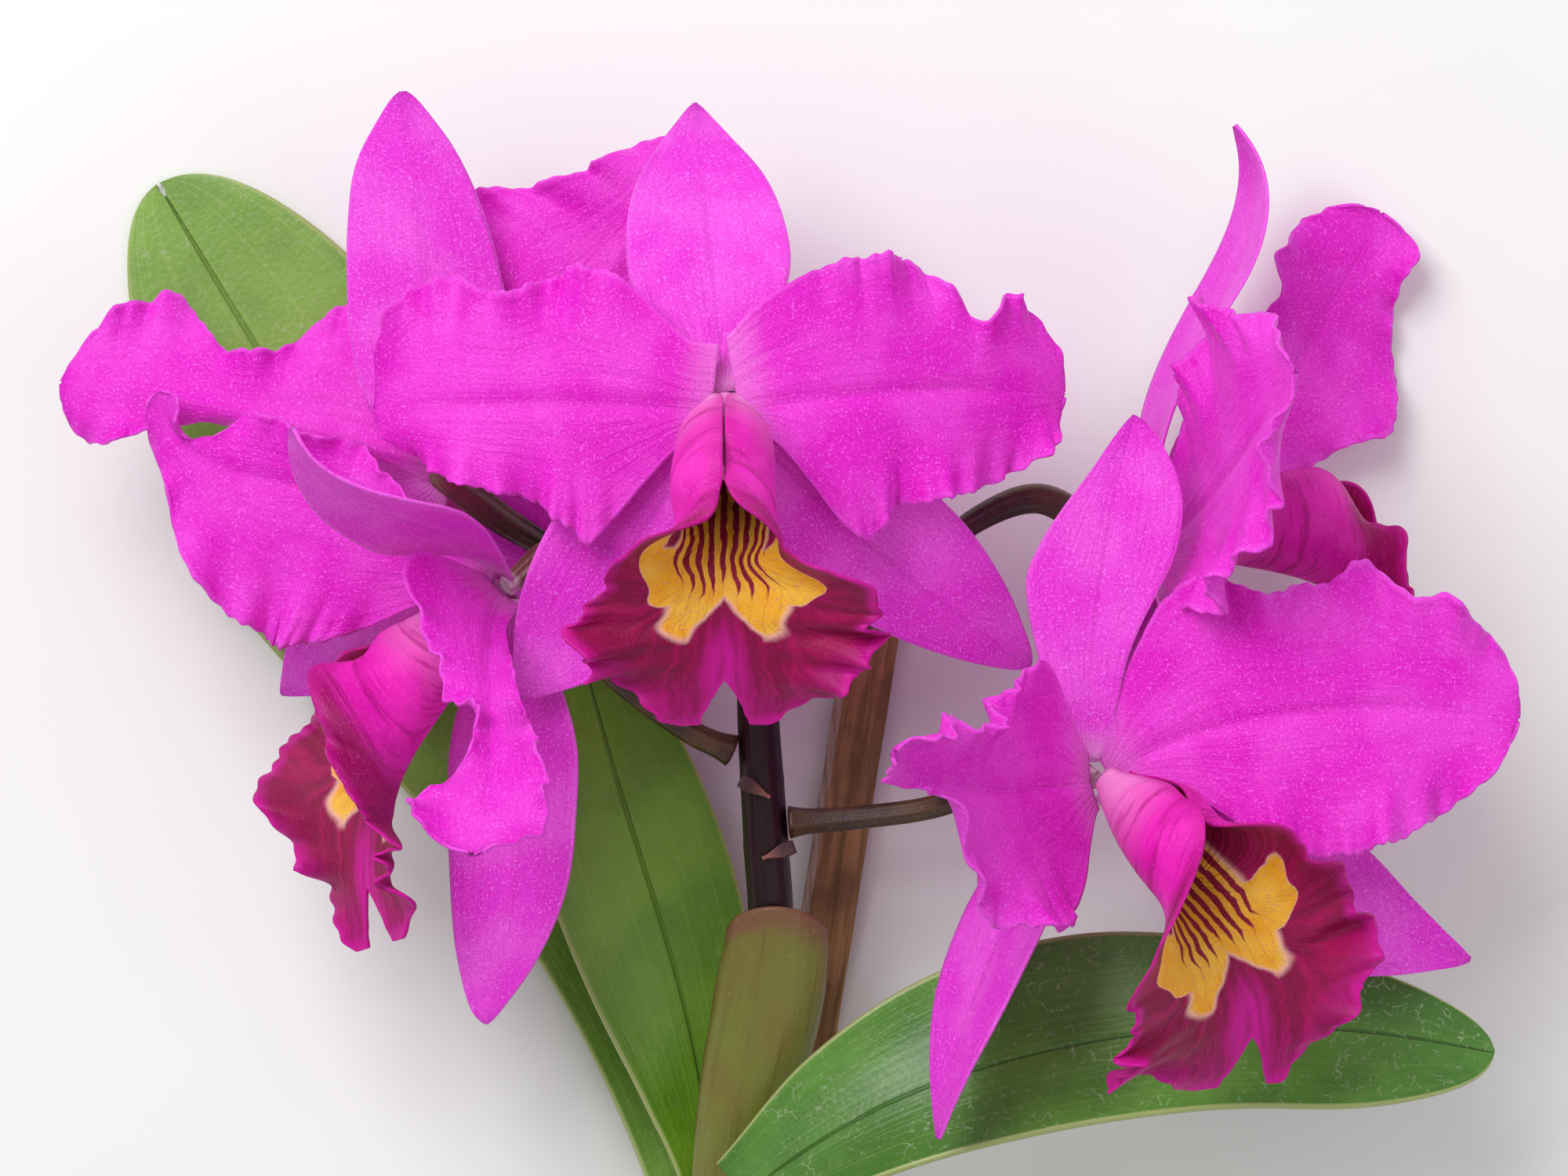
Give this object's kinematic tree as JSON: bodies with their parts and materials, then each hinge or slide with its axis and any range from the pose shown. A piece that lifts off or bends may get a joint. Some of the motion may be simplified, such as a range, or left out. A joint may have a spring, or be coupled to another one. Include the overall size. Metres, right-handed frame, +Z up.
{
  "type": "cut cattleya orchid spray",
  "caption": "Cut flowering growth of a cattleya orchid, lying on its back: magenta flowers with frilled crimson lips on a dark stem, with leathery leaves and a flat wooden stake.",
  "frame": {"origin": "middle of the underside of the whole growth, on the surface it lies on", "axes": "+Z up from the surface, +Y from the cut end towards the flowers, +X to the right seen from above with the flowers at the far end"},
  "size_m": [0.2858, 0.2402, 0.1388],
  "materials": {
    "sepal": "soft satin petal tissue",
    "petal": "soft satin petal tissue with a crystalline sparkle",
    "lip": "velvety petal tissue",
    "column": "waxy petal tissue",
    "stalk": "smooth dark plant stem",
    "stem": "smooth dark plant stem",
    "leaf": "waxy leathery leaf",
    "sheath": "leathery plant sheath",
    "bract": "dry papery scale",
    "stake": "weathered softwood",
    "bulb": "smooth fibrous plant stem"
  },
  "bodies": {
    "root": {"middle_dorsal_sepal": "sepal", "middle_left_petal": "petal", "middle_right_petal": "petal", "middle_left_sepal": "sepal", "middle_right_sepal": "sepal", "middle_lip": "lip", "middle_column": "column", "middle_stalk": "stalk", "back_left_dorsal_sepal": "sepal", "back_left_left_petal": "petal", "back_left_right_petal": "petal", "back_left_left_sepal": "sepal", "back_left_right_sepal": "sepal", "back_left_lip": "lip", "back_left_column": "column", "back_left_stalk": "stalk", "lower_left_dorsal_sepal": "sepal", "lower_left_left_petal": "petal", "lower_left_right_petal": "petal", "lower_left_left_sepal": "sepal", "lower_left_right_sepal": "sepal", "lower_left_lip": "lip", "lower_left_column": "column", "lower_left_stalk": "stalk", "upper_right_dorsal_sepal": "sepal", "upper_right_left_petal": "petal", "upper_right_right_petal": "petal", "upper_right_left_sepal": "sepal", "upper_right_right_sepal": "sepal", "upper_right_lip": "lip", "upper_right_column": "column", "upper_right_stalk": "stalk", "lower_right_dorsal_sepal": "sepal", "lower_right_left_petal": "petal", "lower_right_right_petal": "petal", "lower_right_left_sepal": "sepal", "lower_right_right_sepal": "sepal", "lower_right_lip": "lip", "lower_right_column": "column", "lower_right_stalk": "stalk", "back_leaf": "leaf", "middle_leaf": "leaf", "front_leaf": "leaf", "stem": "stem", "upper_bract": "bract", "lower_bract": "bract", "sheath": "sheath", "stake": "stake", "bulb": "bulb"}
  },
  "joints": []
}
